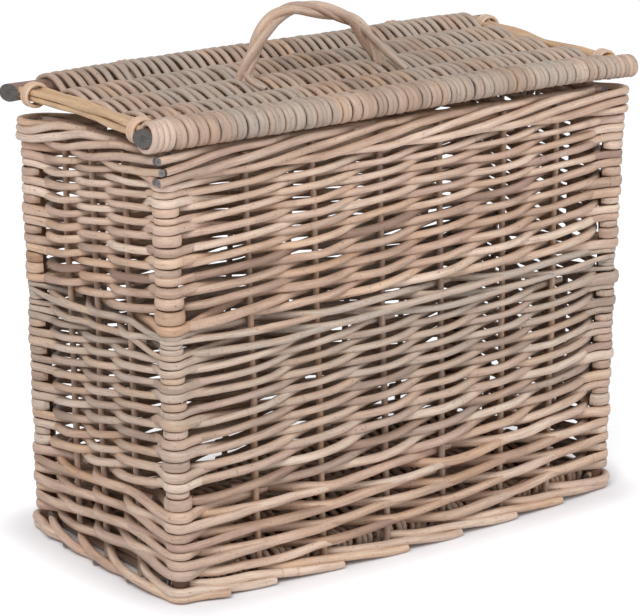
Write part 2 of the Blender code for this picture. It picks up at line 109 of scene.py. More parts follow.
def smooth(controls, spacing):
    """Stations about a spacing apart on a smooth curve through x, y, z, radius controls."""
    points = np.asarray(controls, float)
    steps = np.linalg.norm(np.diff(points[:, :3], axis=0), axis=1)
    keep = np.r_[True, steps > 1e-6]
    points = points[keep]
    steps = np.linalg.norm(np.diff(points[:, :3], axis=0), axis=1)
    places = np.r_[0, np.cumsum(steps)]
    slopes = np.diff(points, axis=0) / steps[:, None]
    tangents = np.empty_like(points)
    tangents[0], tangents[-1] = slopes[0], slopes[-1]
    before, after = steps[:-1, None], steps[1:, None]
    tangents[1:-1] = (slopes[:-1] * after + slopes[1:] * before) / (before + after)
    count = max(int(round(places[-1] / spacing)), 2) + 1
    wanted = np.linspace(0, places[-1], count)
    index = np.clip(np.searchsorted(places, wanted, side="right") - 1, 0, len(steps) - 1)
    span = steps[index][:, None]
    t = (wanted - places[index])[:, None] / span
    return (
        points[index] * (1 + 2 * t) * (1 - t) ** 2
        + points[index + 1] * t**2 * (3 - 2 * t)
        + tangents[index] * span * t * (1 - t) ** 2
        - tangents[index + 1] * span * t**2 * (1 - t)
    )


def carried_sides(tangents):
    """A sideways direction at each station that turns as little as it can along the route."""
    first = tangents[0]
    helper = np.array((0, 0, 1.0)) if abs(first[2]) < 0.8 else np.array((1.0, 0, 0))
    side = Vector(np.cross(first, helper)).normalized()
    sides = []
    for tangent in tangents:
        along = Vector(tangent)
        side = (side - along * side.dot(along)).normalized()
        sides.append(side)
    return np.array(sides)


class Rods:
    """Willow rods that are laid one after another and become one mesh."""

    def __init__(self, seed, spacing=0.002, sides=8, wide_axis=(0, 0, 1.0)):
        self.random = random.Random(seed)
        self.noise = np.random.default_rng(seed)
        self.spacing = spacing
        self.sides = sides
        self.wide_axis = wide_axis
        self.places = []
        self.grains = []
        self.tones = []
        self.faces = []
        self.count = 0

    def lay(self, controls, tone=0.5, grey=0.0, wander=0.0003, knobs=0.03, cut=0.0):
        """A rod along controls: x, y, z, radius and, for a flattened rod, the share it is wider.

        Tone and grey pick its colour, grey as one value or as those of both ends. Wander is how
        far it strays from its line, in metres, and knobs by which share its radius varies. Cut is
        how far its first end is cut aslant along the rod for each metre towards +y.
        """
        sides = self.sides
        route = smooth(controls, self.spacing)
        centres, radii = route[:, :3], route[:, 3]
        flat = route[:, 4] if route.shape[1] > 4 else None
        tangents = unit(np.gradient(centres, axis=0))
        across = carried_sides(tangents) if flat is None else unit(np.cross(tangents, self.wide_axis))
        upward = np.cross(across, tangents)
        travel = np.r_[0, np.cumsum(np.linalg.norm(np.diff(centres, axis=0), axis=1))]
        knots = np.arange(0, travel[-1] + 0.06, 0.02)
        drift = self.noise.normal(0, 1, (3, len(knots)))
        shift = [np.interp(travel, knots, row) for row in drift]
        centres = centres + across * (shift[0] * wander)[:, None] + upward * (shift[1] * wander)[:, None]
        radii = radii * (1 + knobs * shift[2])
        angles = 2 * math.pi * np.arange(sides) / sides
        section = np.stack((np.cos(angles), np.sin(angles)))
        if flat is not None:
            section = np.sign(section) * np.abs(section) ** 0.8
        wide = across if flat is None else across * (1 - NARROWING * flat[:, None])
        tall = upward if flat is None else upward * (1 + flat[:, None])
        circle = section[0][:, None] * wide[:, None] + section[1][:, None] * tall[:, None]
        skin = centres[:, None] + circle * radii[:, None, None]
        if cut:
            skin[0] += tangents[0] * ((skin[0] - centres[0])[:, 1:2] * cut)
        start = self.random.uniform(0, 20)
        offset = self.random.uniform(0, 9)
        grain = np.empty((len(centres), sides, 3))
        grain[..., 0] = (travel + start)[:, None]
        grain[..., 1] = radii[:, None] * np.cos(angles) + offset
        grain[..., 2] = radii[:, None] * np.sin(angles)
        greys = np.linspace(*(grey if isinstance(grey, tuple) else (grey, grey)), len(centres))
        colours = np.zeros((len(centres), sides, 3))
        colours[..., 0], colours[..., 1] = tone, greys[:, None]
        self._add(skin.reshape(-1, 3), grain.reshape(-1, 3), colours.reshape(-1, 3))
        base = self.count - skin.shape[0] * sides
        row = np.arange(len(centres) - 1)[:, None] * sides + base
        column = np.arange(sides)
        following = (column + 1) % sides
        corners = (row + column, row + sides + column, row + sides + following, row + following)
        quads = np.stack(corners, -1)
        self.faces += quads.reshape(-1, 4).tolist()
        for station, order in ((0, 1), (-1, -1)):
            ring = skin[station]
            middle = centres[station]
            self._add(ring, grain[station], np.tile((tone, greys[station], 1), (sides, 1)))
            self._add(middle[None], grain[station][:1], np.array([(tone, greys[station], 2)]))
            hub = self.count - 1
            rim = list(range(hub - sides, hub))[::order]
            self.faces += [(hub, rim[i], rim[(i + 1) % sides]) for i in range(sides)]

    def _add(self, places, grains, tones):
        self.places.append(places)
        self.grains.append(grains)
        self.tones.append(tones)
        self.count += len(places)

    def make(self, name, material, body, nodes=()):
        mesh = bpy.data.meshes.new(name)
        mesh.from_pydata(np.concatenate(self.places).tolist(), [], self.faces)
        for title, rows in (("grain", self.grains), ("rod", self.tones)):
            layer = mesh.attributes.new(title, "FLOAT_VECTOR", "POINT")
            layer.data.foreach_set("vector", np.concatenate(rows).astype(np.float32).ravel())
        mesh.shade_smooth()
        mesh.materials.append(material)
        piece = bpy.data.objects.new(name, mesh)
        bpy.context.scene.collection.objects.link(piece)
        return dress(piece, body, nodes)


def dress(piece, body, nodes=()):
    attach(piece, body)
    if nodes:
        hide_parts(*nodes)
    return piece


class Upright:
    """A corner post or a stake of the frame. It leans: its foot stands nearer the middle of the
    basket's length than its top, and farther out across the basket.
    """

    def __init__(self, node, radius, out, before=None):
        low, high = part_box(node)
        self.foot, self.top = low.copy(), high.copy()
        for axis, middle, foot_is_outer in ((0, 0, False), (1, MIDDLE_Y, True)):
            inner, outer = low[axis] + radius, high[axis] - radius
            if low[axis] + high[axis] < 2 * middle:
                inner, outer = outer, inner
            self.foot[axis], self.top[axis] = (outer, inner) if foot_is_outer else (inner, outer)
        self.out = Vector(out)
        self.before = Vector(before) if before else None
        self.radius = radius

    def at(self, height):
        share = (height - self.foot.z) / (self.top.z - self.foot.z)
        place = self.foot.lerp(self.top, share)
        place.z = height
        return place


def find_uprights():
    found = []
    for index, (wall, post, stakes, out) in enumerate(WALLS):
        found.append(Upright(post, POST_RADIUS, out, WALLS[index - 1][3]))
        for number in range(stakes):
            found.append(Upright(f"stake_{wall}_{number + 1}", STAKE_RADIUS, out))
    return found


UPRIGHTS = find_uprights()
FAR_SIDES = (Vector((1, 0, 0)), Vector((0, 1, 0)))
ROUND = len(UPRIGHTS)
CORNERS = [index for index, upright in enumerate(UPRIGHTS) if upright.before]


# The part of a corner post that a rod lies against, in degrees from the way out of the wall
# before it, if the rod passes its next uprights outside and if it passes them inside
STRAIGHT_ON = (-6, 96)
TURNING_IN = (-34, 124)


def passing(index, height, radius, depth, flat=0.0, sweep=STRAIGHT_ON):
    """Controls where a rod passes an upright. Depth 1 is against its outside, -1 its inside.

    Sweep is the part of a corner post that the rod lies against, as two angles in degrees.
    """
    upright = UPRIGHTS[index % ROUND]
    centre = upright.at(height)
    reach = upright.radius + GAP + radius * (1 - NARROWING * flat)
    if upright.before and depth < 0:
        place = centre - (upright.out + upright.before).normalized() * reach
        return [(place.x, place.y, height, radius, flat)]
    if upright.before:
        start = math.atan2(upright.before.y, upright.before.x)
        angles = [start + math.radians(degrees) for degrees in np.linspace(*sweep, 7)]
        places = [(centre.x + reach * math.cos(a), centre.y + reach * math.sin(a)) for a in angles]
        return [(*place, height, radius, flat) for place in places]
    place = centre + upright.out * depth * reach
    return [(place.x, place.y, height, radius, flat)]


def between(index, share, height, radius, depth, flat=0.0):
    """A control part of the way from one upright to the next, at a depth in metres."""
    here, there = UPRIGHTS[index % ROUND], UPRIGHTS[(index + 1) % ROUND]
    place = here.at(height).lerp(there.at(height), share) + here.out * depth
    return (place.x, place.y, height, radius, flat)


# Materials


def colour(code):
    """An sRGB hex value as linear red, green and blue."""
    values = [int(code[i : i + 2], 16) / 255 for i in (1, 3, 5)]
    return [v / 12.92 if v <= 0.04045 else ((v + 0.055) / 1.055) ** 2.4 for v in values]


def add_node(tree, kind, settings=None, links=None):
    """A node with its own settings, and its sockets set to values or linked from others."""
    new = tree.nodes.new(kind)
    for name, value in (settings or {}).items():
        setattr(new, name, value)
    for name, value in (links or {}).items():
        socket = new.inputs[name]
        if isinstance(value, bpy.types.NodeSocket):
            tree.links.new(value, socket)
        else:
            socket.default_value = value
    return new


def blank_material(name):
    material = bpy.data.materials.new(name)
    material.use_nodes = True
    tree = material.node_tree
    tree.nodes.clear()
    return material, tree


def willow(name, light, mid, dark, weathered, roughness, gloss, ends=("#6E6A68", "#3A3634")):
    """Willow rod, buff or steamed, limewashed and rubbed back.

    Colour differs from rod to rod and drifts along each one. Fine fibres run along it, with bark
    specks and the rings of leaf nodes, and the cut ends are grey with a darker pith.
    """
    material, tree = blank_material(name)
    grain = add_node(tree, "ShaderNodeAttribute", {"attribute_name": "grain"}).outputs["Vector"]
    rod = add_node(tree, "ShaderNodeAttribute", {"attribute_name": "rod"}).outputs["Vector"]
    parts = add_node(tree, "ShaderNodeSeparateXYZ", links={0: rod}).outputs
    tone, grey, cut = parts[0], parts[1], parts[2]

    def pattern(along, around, detail=2.0, rough=0.5):
        """Noise whose features are so many metres long and wide."""
        scale = (1 / along, 1 / around, 1 / around)
        stretched = add_node(tree, "ShaderNodeVectorMath", {"operation": "MULTIPLY"}, {0: grain, 1: scale})
        return add_node(
            tree,
            "ShaderNodeTexNoise",
            links={"Vector": stretched.outputs[0], "Scale": 1.0, "Detail": detail, "Roughness": rough},
        ).outputs["Fac"]

    def spread(value, low, high, bottom=0.0, top=1.0):
        return add_node(
            tree,
            "ShaderNodeMapRange",
            {"clamp": True},
            {"Value": value, "From Min": low, "From Max": high, "To Min": bottom, "To Max": top},
        ).outputs["Result"]

    def figure(operation, first, second):
        return add_node(tree, "ShaderNodeMath", {"operation": operation}, {0: first, 1: second}).outputs[0]

    def mixed(share, first, second, blend="MIX"):
        node = add_node(tree, "ShaderNodeMix", {"data_type": "RGBA", "blend_type": blend}, {0: share})
        for place, value in ((6, first), (7, second)):
            if isinstance(value, bpy.types.NodeSocket):
                tree.links.new(value, node.inputs[place])
            else:
                node.inputs[place].default_value = (*value, 1)
        return node.outputs[2]

    patches = pattern(0.045, 0.006)
    fibres = pattern(0.014, 0.0009, 3.0, 0.6)
    specks = pattern(0.0022, 0.0014, 1.0)
    drift = figure("ADD", tone, spread(patches, 0.3, 0.7, -0.22, 0.22))
    ramp = add_node(tree, "ShaderNodeValToRGB", links={"Fac": drift})
    band = ramp.color_ramp
    band.elements[0].position, band.elements[0].color = 0.05, (*dark, 1)
    band.elements[1].position, band.elements[1].color = 0.95, (*light, 1)
    middle = band.elements.new(0.5)
    middle.color = (*mid, 1)
    ageing = figure("MULTIPLY", grey, spread(pattern(0.03, 0.004), 0.25, 0.6, 0.45, 1.0))
    warm = spread(pattern(0.35, 1.0, 0.0), 0.52, 0.62, 0.0, 0.38)
    rosy = spread(pattern(0.28, 0.7, 0.0), 0.40, 0.32, 0.0, 0.30)
    skin = mixed(warm, ramp.outputs["Color"], colour("#C69A70"))
    skin = mixed(rosy, skin, colour("#B9968E"))
    skin = mixed(ageing, skin, weathered)
    skin = mixed(spread(fibres, 0.35, 0.7, 0.0, 0.32), skin, (0.78, 0.72, 0.66), "SOFT_LIGHT")
    skin = mixed(spread(fibres, 0.3, 0.52, 0.38, 0.0), skin, dark)
    skin = mixed(spread(specks, 0.66, 0.76, 0.0, 0.55), skin, colour("#5A4638"))
    rings = spread(pattern(0.11, 10.0, 0.0), 0.498, 0.502)
    ring_line = figure("MULTIPLY", rings, figure("SUBTRACT", 1.0, rings))
    skin = mixed(figure("MULTIPLY", ring_line, 0.9), skin, colour("#6B5443"))
    end = mixed(spread(cut, 1.6, 1.75), colour(ends[0]), colour(ends[1]))
    end = mixed(spread(pattern(1.0, 0.0006, 2.0), 0.35, 0.65, 0.0, 0.5), end, colour("#7A746F"))
    surface = mixed(spread(cut, 0.4, 0.6), skin, end)
    height = figure("ADD", figure("MULTIPLY", fibres, 1.0), figure("MULTIPLY", patches, 0.6))
    bump = add_node(tree, "ShaderNodeBump", links={"Height": height, "Strength": 0.35, "Distance": 0.0006})
    shader = add_node(
        tree,
        "ShaderNodeBsdfPrincipled",
        links={
            "Base Color": surface,
            "Roughness": spread(fibres, 0.3, 0.7, roughness - 0.08, roughness + 0.14),
            "Specular IOR Level": gloss,
            "IOR": 1.5,
            "Metallic": 0.0,
            "Normal": bump.outputs["Normal"],
        },
    )
    output = add_node(tree, "ShaderNodeOutputMaterial")
    tree.links.new(shader.outputs[0], output.inputs["Surface"])
    return material


class Finishes:
    """The willow materials, each made once from the chosen colours."""

    made = {}

    @classmethod
    def get(cls, name):
        if name not in cls.made:
            tints = bpy.context.scene.basket_colours
            chosen = (tints.light, tints.mid, tints.dark, tints.grey)
            light, mid, dark, grey = (list(value) for value in chosen)
            if name == "bark":
                light, mid, dark = (list(Vector(tints.bark) * share) for share in (1, 0.75, 0.45))
                ends = ("#3C3734", "#1C1917")
                cls.made[name] = willow("steamed_willow_post", light, mid, dark, grey, 0.35, 0.6, ends)
            elif name == "yellow":
                light, mid, dark = (list(Vector(tints.pale) * share) for share in (1, 0.72, 0.4))
                cls.made[name] = willow("peeled_willow_rod", light, mid, dark, grey, 0.4, 0.55)
            else:
                cls.made[name] = willow("limewashed_willow_rod", light, mid, dark, grey, 0.42, 0.6)
        return cls.made[name]


# Properties


def metres(name, description, default):
    return FloatProperty(name=name, description=description, default=default, unit="LENGTH", precision=4)


def tint(name, description, code):
    return FloatVectorProperty(
        name=name, description=description, default=colour(code), subtype="COLOR", size=3, min=0, max=1
    )


def share_of(name, description, default):
    return FloatProperty(name=name, description=description, default=default, min=0, max=2)


class BasketSizes(bpy.types.PropertyGroup):
    corner_fill: share_of("Corner fill", "Height of a rod as a share of its turn at a corner", 0.96)
    corner_flat: share_of("Corner flattening", "Share by which a rod is taller where it bends", 0.38)
    wall_fill: share_of("Wall fill", "Rod thickness as a share of its row on a wall", 1.08)
    rand_fill: share_of("Rand fill", "Rod thickness as a share of its level in a rand", 1.08)
    far_fill: share_of("Far wall fill", "Rod thickness on the right and back walls beside the others", 1.24)
    wale_fill: share_of("Wale fill", "Thickness of a waled rod beside a plain one", 1.36)
    border_radius: metres("Border rod radius", "Radius of the rods of the top border", 0.0028)
    foot_radius: metres("Foot rod radius", "Radius of the rods of the foot border", 0.0031)
    strand_radius: metres("Lid strand radius", "Radius of the strand of the lid", 0.0021)
    strand_flat: share_of("Lid strand flattening", "Share by which the strand of the lid is wider", 0.18)
    strand_pitch: metres("Lid strand pitch", "Distance between two passes of the lid strand", 0.0039)
    wrap_pitch: metres("Wrap pitch", "Distance between turns round the lid's front stick", 0.0044)
    rope_radius: metres("Rope strand radius", "Radius of one strand of the handle", 0.0036)
    rope_lay: metres("Rope lay", "Length of the handle in which a strand turns once", 0.085)


class BasketColours(bpy.types.PropertyGroup):
    light: tint("Light", "Palest rods", "#E2CAB6")
    mid: tint("Middle", "Most rods", "#C4A48E")
    dark: tint("Dark", "Darkest rods", "#876A5A")
    grey: tint("Weathered", "Weathered grey rods", "#ADA296")
    bark: tint("Bark", "Corner posts and sticks", "#6B4A36")
    pale: tint("Peeled", "Rods at the ends of the lid", "#D4B08A")


class StudioSizes(bpy.types.PropertyGroup):
    key: FloatProperty(name="Key", description="Power of the key lamp", default=34.0, unit="POWER")
    fill: FloatProperty(name="Fill", description="Power of the fill lamp", default=11.0, unit="POWER")
    sky: FloatProperty(name="Sky", description="Strength of the white surroundings", default=0.6, min=0)


# Stage


# The camera that was fitted to the photograph: its azimuth, elevation and roll in degrees, the
# height of the point that it turns about, its distance from there and its shift in pixels
CAMERA_TURNS = (-37.49, 16.09, 0.49)
CAMERA_HEIGHT, CAMERA_DISTANCE = 0.1567, 1.864
CAMERA_LENS, CAMERA_SENSOR = 141.73, 36
CAMERA_SHIFT = (-9.8, -1.7)
IMAGE_WIDTH = 640

# The camera sees the floor glow, so that it is as white as in the photograph. The glow fades out
# towards the basket's foot, between two distances from it. This paints shade on the floor round and
# under the foot, on top of its real shadow. The foot is given by half its length and half its depth.
FLOOR_GLOW = 0.42
PAINTED_SHADE_NEAR, PAINTED_SHADE_FAR = 0.015, 0.07
BASKET_FOOT = (0.185, 0.085, 0)


class BasketStage(bpy.types.Operator):
    """Pale floor, white surroundings, soft lamps and the camera"""

    bl_idname = "basket.stage"
    bl_label = "Stage"

    def execute(self, context):
        studio = context.scene.basket_studio
        self.make_floor()
        self.make_world(context.scene, studio.sky)
        self.make_lamp("key_lamp", (-1.5, -1.2, 1.9), 1.3, studio.key)
        self.make_lamp("fill_lamp", (1.2, -1.8, 1.0), 1.6, studio.fill)
        self.make_camera(context.scene)
        context.scene.view_settings.view_transform = "Standard"
        return {"FINISHED"}

    def make_floor(self):
        bpy.ops.mesh.primitive_plane_add(size=60, location=(0, 0, 0))
        floor = bpy.context.object
        floor.name = "studio_floor"
        material, tree = blank_material("white_studio_floor")
        path = add_node(tree, "ShaderNodeLightPath").outputs["Is Camera Ray"]
        matte = add_node(tree, "ShaderNodeBsdfDiffuse", links={"Color": (0.88, 0.88, 0.91, 1)})
        place = add_node(tree, "ShaderNodeNewGeometry").outputs["Position"]

        def vector(operation, *values):
            return add_node(tree, "ShaderNodeVectorMath", {"operation": operation}, dict(enumerate(values)))

        beyond = vector("SUBTRACT", vector("ABSOLUTE", place).outputs[0], BASKET_FOOT)
        away = vector("LENGTH", vector("MAXIMUM", beyond.outputs[0], (0, 0, 0)).outputs[0]).outputs["Value"]
        # No glow within the near distance of the foot and full glow beyond the far one: painted shade on
        # the floor round the foot
        rise = add_node(
            tree,
            "ShaderNodeMapRange",
            {"interpolation_type": "SMOOTHSTEP"},
            {"Value": away, "From Min": PAINTED_SHADE_NEAR, "From Max": PAINTED_SHADE_FAR, "To Max": FLOOR_GLOW},
        ).outputs["Result"]
        glow = add_node(tree, "ShaderNodeEmission", links={"Color": (1, 1, 1, 1), "Strength": rise})
        plain = matte.outputs[0]
        both = add_node(tree, "ShaderNodeAddShader", links={0: plain, 1: glow.outputs[0]})
        seen = add_node(tree, "ShaderNodeMixShader", links={0: path, 1: plain, 2: both.outputs[0]})
        output = add_node(tree, "ShaderNodeOutputMaterial")
        tree.links.new(seen.outputs[0], output.inputs["Surface"])
        floor.data.materials.append(material)

    def make_world(self, scene, strength):
        world = bpy.data.worlds.new("white_surroundings")
        world.use_nodes = True
        tree = world.node_tree
        tree.nodes.clear()
        path = add_node(tree, "ShaderNodeLightPath").outputs["Is Camera Ray"]
        level = add_node(
            tree, "ShaderNodeMapRange", links={"Value": path, "To Min": strength, "To Max": 1.0}
        ).outputs["Result"]
        light = add_node(tree, "ShaderNodeBackground", links={"Color": (1, 1, 1, 1), "Strength": level})
        output = add_node(tree, "ShaderNodeOutputWorld")
        tree.links.new(light.outputs[0], output.inputs["Surface"])
        scene.world = world

    def make_lamp(self, name, place, size, power):
        data = bpy.data.lights.new(name, "AREA")
        data.shape = "DISK"
        data.size = size
        data.energy = power
        lamp = bpy.data.objects.new(name, data)
        lamp.location = place
        aim = Vector((0, 0, 0.15)) - lamp.location
        lamp.rotation_euler = aim.to_track_quat("-Z", "Y").to_euler()
        bpy.context.scene.collection.objects.link(lamp)

    def make_camera(self, scene):
        data = bpy.data.cameras.new("camera")
        data.lens = CAMERA_LENS
        data.sensor_width = CAMERA_SENSOR
        data.shift_x, data.shift_y = (pixels / IMAGE_WIDTH for pixels in CAMERA_SHIFT)
        camera = bpy.data.objects.new("camera", data)
        azimuth, elevation, roll = (math.radians(a) for a in CAMERA_TURNS)
        level = math.cos(elevation)
        back = Vector((level * math.sin(azimuth), -level * math.cos(azimuth), math.sin(elevation)))
        right = Vector((math.cos(azimuth), math.sin(azimuth), 0))
        up = back.cross(right)
        across = right * math.cos(roll) + up * math.sin(roll)
        above = up * math.cos(roll) - right * math.sin(roll)
        turn = Matrix((across, above, back)).transposed().to_4x4()
        place = Vector((0, MIDDLE_Y, CAMERA_HEIGHT)) + back * CAMERA_DISTANCE
        camera.matrix_world = Matrix.Translation(place) @ turn
        scene.collection.objects.link(camera)
        scene.camera = camera


# Walls

# The lowest waled row lies down on the foot border's rods
WEAVE_LOW = 0.016
WEAVE_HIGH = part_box("wall_weave_front")[1].z
FOOT_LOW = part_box("foot_border_front")[0].z

# How far below the top border a stake and a post end, where the border is low
STAKE_SUNK, POST_SUNK = 0.002, 0.0005

# Limits on the radius of a rod of the walls
THINNEST, THICKEST = 0.0013, 0.0036

# A waled row has so many rods. Each lies by this share of the row below its middle at the first
# upright that it passes outside, and above it at the second.
WALED_RODS = 4
WALED_LIFT = 0.35

# Where the ends of a rod lie: how far on from an upright, as a share of the span to the next one,
# and how far out from the line of the uprights, in metres, which is inside where it is negative
WALED_START, WALED_END = (-0.24, -0.0095), (0.22, -0.0062)
RAND_START, RAND_END = (0.76, -0.0080), (0.25, -0.0045)

# An extra turn round a post: how much flatter it is than the rows there, and its route's angles
# in degrees
TURN_FLAT = 1.3
TURN_ANGLES = range(-80, 171, 25)

# How much higher the rods of the top border end than the frame's border
BORDER_CROWN = 0.0008

# Room for the lid's back stick and its wraps over the back border when the lid is open
STICK_ROOM = 0.0113

# The foot rods of the left wall lie this much farther out
FOOT_OUT_LEFT = 0.004

# Heights of a foot rod where it comes out, one upright on and two on, in its own radii
FOOT_RISES = (3.3, 2.5, 1.0)

# Height and radius of the two darkest rods behind the foot border at each short side, whose dark tone is
# painted shade
PAINTED_SHADE_FOOT_RODS = ((0.0052, 0.0036), (0.0125, 0.0040))

# How far the cut ends of the top border's rods run past the near post, the end from the left wall
# and the one that starts the front wall: first for rods whose second upright the post is, then
# for those whose first or third it is
CUT_ENDS = ((0.0115, 0.0045), (0.0050, 0.0105))


def corner_turns(row_heights, outside, shares, alone, low, high, dice):
    """Heights of the turns outside a corner post: the rows that pass there and extra turns.

    The rods of a rand that pass outside lie too far apart to close the corner, so about every
    third turn there is one that goes round the post alone.
    """
    shares = np.array(shares, float) * (1 + dice.normal(0, 0.02, len(shares)))
    edges = low + (high - low) * np.r_[0, np.cumsum(shares)] / shares.sum()
    middles, sizes = (edges[1:] + edges[:-1]) / 2, np.diff(edges)
    spare = max(len(shares) - len(outside), 0)
    extra = set(alone[:spare])
    for part in range(spare - len(extra)):
        extra.add(int(len(shares) * (part + 0.5) / spare))
    places, turns = {}, []
    queue = list(outside)
    for index in range(len(shares)):
        if index in extra or not queue:
            turns.append((middles[index], sizes[index]))
        else:
            places[queue.pop(0)] = (middles[index], sizes[index])
    for row in queue:
        places[row] = (row_heights[row], sizes.mean())
    return places, turns


def border_top(index):
    """Height of the top border at an upright. Along the back it leaves room for the lid's stick,
    which lies above its axis when the lid is shut and as far below it when the lid is open.
    """
    upright = UPRIGHTS[index % ROUND]
    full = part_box("top_border_front")[1].z + BORDER_CROWN
    ways = [upright.out] + ([upright.before] if upright.before else [])
    if all(way.y <= 0 for way in ways):
        return full
    stick_y, stick_z, _ = stick_of("lid_back_stick", 0)
    return min(full, stick_z - lid_warp(upright.top.x, stick_y) - STICK_ROOM)


def goes_outside(index, row, period):
    return (index - row) % period != 0


class Zone:
    """A band of rows, or of a rand's levels: where each lies at every upright, its thickness
    there, and where the extra turns at the corners lie.
    """

    def __init__(self, rows, period, shares, alone, low, high, dice):
        self.rows, self.period = rows, period
        self.pitch = (high - low) / rows
        self.heights = np.empty((rows, ROUND))
        self.sizes = np.full((rows, ROUND), self.pitch)
        self.turns = {}
        taper = np.linspace(RAND_TAPER, 1 / RAND_TAPER, rows) if period == RAND else 1.0
        for index in range(ROUND):
            thickness = (1 + dice.normal(0, 0.08, rows)) * taper
            edges = low + (high - low) * np.r_[0, np.cumsum(thickness)] / thickness.sum()
            self.heights[:, index] = (edges[1:] + edges[:-1]) / 2
            self.sizes[:, index] = np.diff(edges)
        for index in CORNERS:
            post = 0 if period == RAND else index
            outside = [row for row in range(rows) if goes_outside(post, row, period)]
            plain = np.full(len(shares), np.mean(shares))
            near = np.array(shares, float)
            here = near if index == 0 else 0.3 * near + 0.7 * plain
            if index:
                here = here * np.clip(1 + dice.normal(0, 0.16, len(shares)), 0.6, 1.5)
            places, turns = corner_turns(self.heights[:, index], outside, here, alone, low, high, dice)
            for row, (height, size) in places.items():
                self.heights[row, index] = height
                self.sizes[row, index] = size
            self.turns[index] = turns


def lay_row(rods, zone, row, sizes, greyness, dice):
    """The rods of one waled row: each starts and ends inside a stake, and they overlap there."""
    period = zone.period
    inside = [i for i in range(ROUND) if not goes_outside(i, row, period) and i not in CORNERS]
    first = dice.randrange(len(inside))
    steps = [first + round(len(inside) * part / WALED_RODS) for part in range(WALED_RODS)]
    joints = sorted({inside[step % len(inside)] for step in steps})
    joints.append(joints[0] + ROUND)
    for begin, finish in zip(joints, joints[1:]):
        controls = []
        butt, tip = dice.uniform(1.0, 1.14), dice.uniform(0.78, 0.95)
        for index in range(begin, finish + 1):
            place = index % ROUND
            corner = place in CORNERS
            outside = goes_outside(place, row, period)
            share = (index - begin) / (finish - begin)
            taper = butt + (tip - butt) * share
            height = zone.heights[row, place]
            flat = 0.0
            if corner and outside:
                radius = 0.5 * sizes.corner_fill * zone.sizes[row, place] / (1 + sizes.corner_flat)
                flat = sizes.corner_flat
            else:
                radius = 0.5 * sizes.wall_fill * zone.pitch * taper * dice.uniform(0.94, 1.06)
                radius *= sizes.wale_fill
                if UPRIGHTS[place].out in FAR_SIDES:
                    radius *= sizes.far_fill
                height += dice.gauss(0, 0.0002)
            radius = min(max(radius, THINNEST), THICKEST)
            if outside and not corner:
                before = goes_outside(place - 1, row, period)
                height += zone.pitch * (WALED_LIFT if before else -WALED_LIFT)
            depth = 1 if outside else -1
            if index == begin:
                along, deep = WALED_START
                controls.append(between(index, along, height, radius * 0.8, deep, flat))
                depth = -2.2
            sweep = (
                (STRAIGHT_ON if goes_outside(place - 1, row, period) else TURNING_IN)[0],
                (STRAIGHT_ON if goes_outside(place + 1, row, period) else TURNING_IN)[1],
            )
            controls += passing(index, height, radius, depth, flat, sweep)
            if index == finish:
                along, deep = WALED_END
                controls.append(between(index, along, height + 0.0005, radius * 0.8, deep, flat))
        grey = min(max(greyness + dice.gauss(0, 0.15), 0), 1)
        tone = min(max(dice.gauss(0.52, 0.17), 0.05), 0.95)
        rods.lay(controls, tone=tone, grey=grey)


def lay_climbing_rod(rods, zone, start, sizes, greyness, dice):
    """A rod that starts low inside one upright, goes outside each second one and climbs a level
    at each, as all rods of a French rand do, with its thin tip at the top.
    """
    controls = []
    own = dice.uniform(0.93, 1.07)
    for level in range(zone.rows):
        place = (start + level) % ROUND
        upright = UPRIGHTS[place]
        outside = level % 2 == 1
        height = zone.heights[level, place]
        taper = RAND_TAPER ** (1 - 2 * level / (zone.rows - 1))
        if upright.before and outside:
            flat = sizes.corner_flat
            radius = 0.5 * sizes.corner_fill * zone.sizes[level, place] / (1 + flat)
        else:
            flat = 0.0
            radius = 0.5 * sizes.rand_fill * zone.pitch * taper * own
            if upright.out in FAR_SIDES:
                radius *= sizes.far_fill
            height += dice.gauss(0, 0.0002)
        radius = min(max(radius, THINNEST), THICKEST)
        if level == 0:
            along, deep = RAND_START
            controls.append(between(place - 1, along, height, radius * 0.9, deep, flat))
        controls += passing(place, height, radius, 1 if outside else -1, flat, TURNING_IN)
    along, deep = RAND_END
    controls.append(between(start + zone.rows - 1, along, height + 0.0008, radius * 0.8, deep, flat))
    grey = tuple(min(max(greyness * share + dice.gauss(0, 0.12), 0), 1) for share in (0.5, 1.5))
    tone = min(max(dice.gauss(0.54, 0.18), 0.05), 0.95)
    rods.lay(controls, tone=tone, grey=grey)


def lay_turn(rods, index, height, size, sizes, greyness, dice):
    """An extra turn round the outside of a corner post, with its ends inside the walls."""
    upright = UPRIGHTS[index]
    flat = sizes.corner_flat * TURN_FLAT
    radius = 0.5 * sizes.corner_fill * size / (1 + flat)
    centre = upright.at(height)
    start = math.atan2(upright.before.y, upright.before.x)
    controls = []
    for degrees in TURN_ANGLES:
        angle = start + math.radians(degrees)
        reach = upright.radius + GAP + radius * (1 - NARROWING * flat)
        x, y = centre.x + reach * math.cos(angle), centre.y + reach * math.sin(angle)
        controls.append((x, y, height, radius, flat))
    tone = min(max(dice.gauss(0.5, 0.15), 0), 1)
    rods.lay(controls, tone=tone, grey=min(max(greyness + dice.gauss(0, 0.15), 0), 1))


